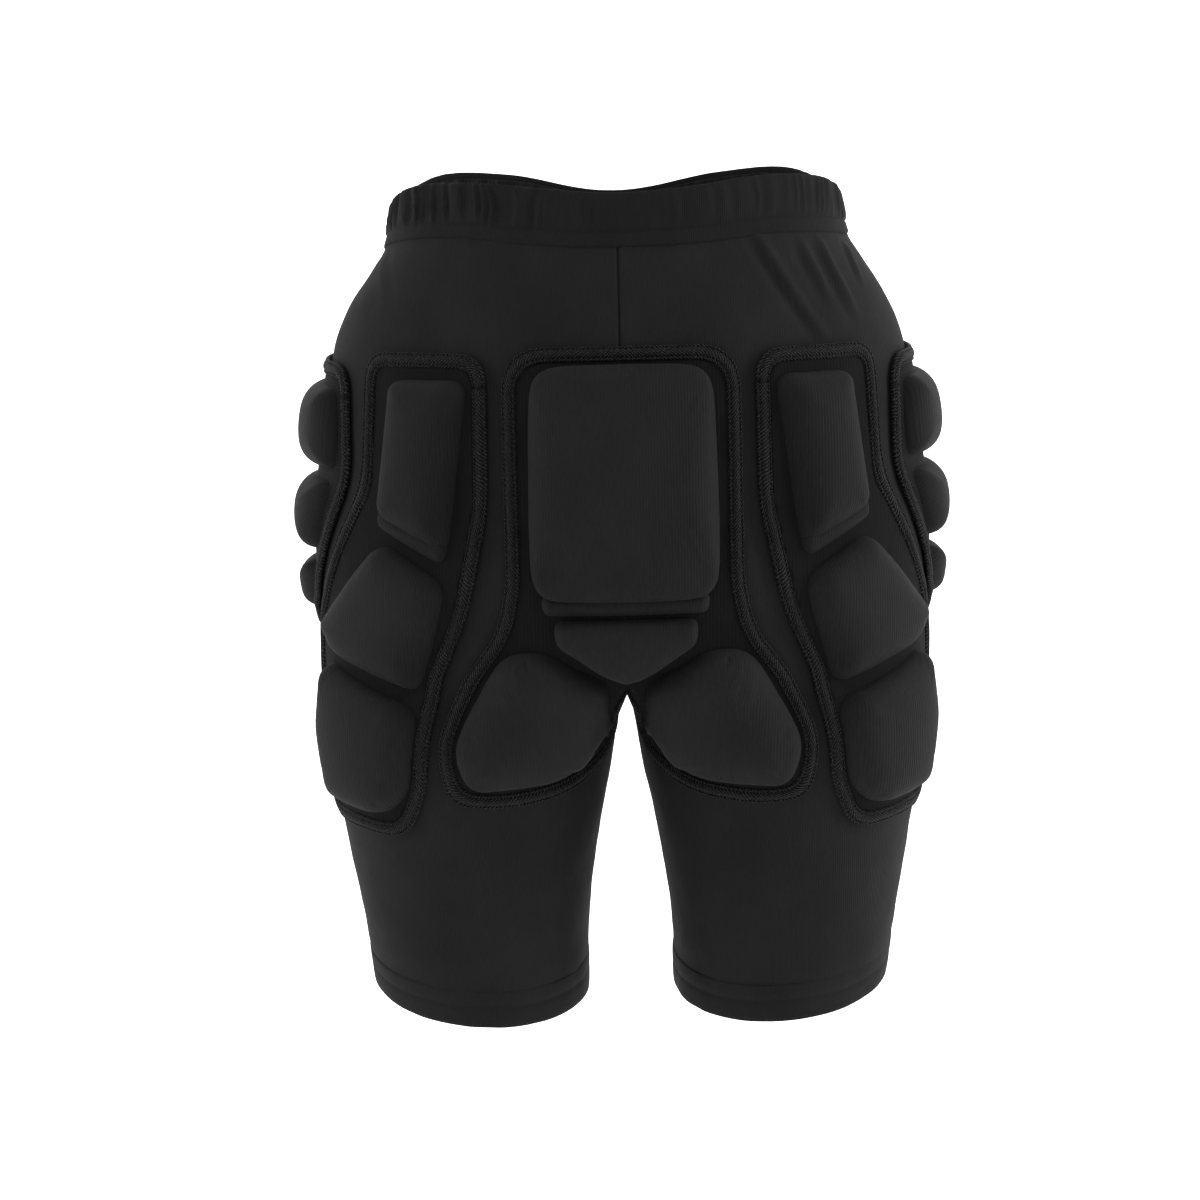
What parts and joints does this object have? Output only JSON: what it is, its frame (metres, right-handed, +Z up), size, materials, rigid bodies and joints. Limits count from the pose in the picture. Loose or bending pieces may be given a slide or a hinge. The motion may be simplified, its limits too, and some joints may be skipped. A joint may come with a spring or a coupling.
{
  "type": "padded impact shorts",
  "caption": "Black close-fitting impact shorts with raised foam pads over the tailbone, seat, rear thighs and hips, each pad panel edged with twill tape.",
  "frame": {"origin": "centre of the waist opening, level with the top of the waistband", "axes": "+Z up towards the waist, +Y towards the wearer's front, +X towards the wearer's right"},
  "size_m": [0.3562, 0.2431, 0.4501],
  "materials": {
    "knit": "matt stretch knit",
    "band": "matt gathered knit",
    "elastic": "woven elastic",
    "panel": "fine moulded knit",
    "tape": "twill tape",
    "pad_face": "fine ribbed knit",
    "foam": "closed-cell foam"
  },
  "bodies": {
    "pelvis": {"coccyx_foam": "foam", "coccyx_pad": "pad_face", "crotch_gusset": "knit", "front_fabric_left": "knit", "front_fabric_right": "knit", "hip_binding_left": "tape", "hip_binding_right": "tape", "hip_lower_foam_left": "foam", "hip_lower_foam_right": "foam", "hip_lower_pad_left": "pad_face", "hip_lower_pad_right": "pad_face", "hip_middle_foam_left": "foam", "hip_middle_foam_right": "foam", "hip_middle_pad_left": "pad_face", "hip_middle_pad_right": "pad_face", "hip_panel_left": "panel", "hip_panel_right": "panel", "hip_stretch_band_left": "knit", "hip_stretch_band_right": "knit", "hip_upper_foam_left": "foam", "hip_upper_foam_right": "foam", "hip_upper_pad_left": "pad_face", "hip_upper_pad_right": "pad_face", "seat_fabric_left": "knit", "seat_fabric_right": "knit", "tail_binding": "tape", "tail_panel": "panel", "tailbone_foam": "foam", "tailbone_pad": "pad_face", "thigh_binding_left": "tape", "thigh_binding_right": "tape", "thigh_panel_left": "panel", "thigh_panel_right": "panel", "thigh_upper_foam_left": "foam", "thigh_upper_foam_right": "foam", "thigh_upper_pad_left": "pad_face", "thigh_upper_pad_right": "pad_face", "waist_elastic": "elastic", "waistband": "band"},
    "leg_left": {"leg_fabric_left": "knit", "leg_hem_left": "knit", "sit_foam_left": "foam", "sit_pad_left": "pad_face", "thigh_lower_foam_left": "foam", "thigh_lower_pad_left": "pad_face", "thigh_middle_foam_left": "foam", "thigh_middle_pad_left": "pad_face"},
    "leg_right": {"leg_fabric_right": "knit", "leg_hem_right": "knit", "sit_foam_right": "foam", "sit_pad_right": "pad_face", "thigh_lower_foam_right": "foam", "thigh_lower_pad_right": "pad_face", "thigh_middle_foam_right": "foam", "thigh_middle_pad_right": "pad_face"}
  },
  "joints": [
    {"name": "hip_flexion_left", "type": "hinge", "parent": "pelvis", "child": "leg_left", "pos_m": [-0.085, 0, -0.225], "axis": [1, 0, 0], "range_deg": [0, 50], "stiffness_Nm_per_rad": 0.6, "deforming": ["hip_stretch_band_left", "thigh_panel_left", "thigh_binding_left"]},
    {"name": "hip_flexion_right", "type": "hinge", "parent": "pelvis", "child": "leg_right", "pos_m": [0.085, 0, -0.225], "axis": [1, 0, 0], "range_deg": [0, 50], "stiffness_Nm_per_rad": 0.6, "deforming": ["hip_stretch_band_right", "thigh_panel_right", "thigh_binding_right", "crotch_gusset", "tail_panel", "tail_binding"]}
  ]
}
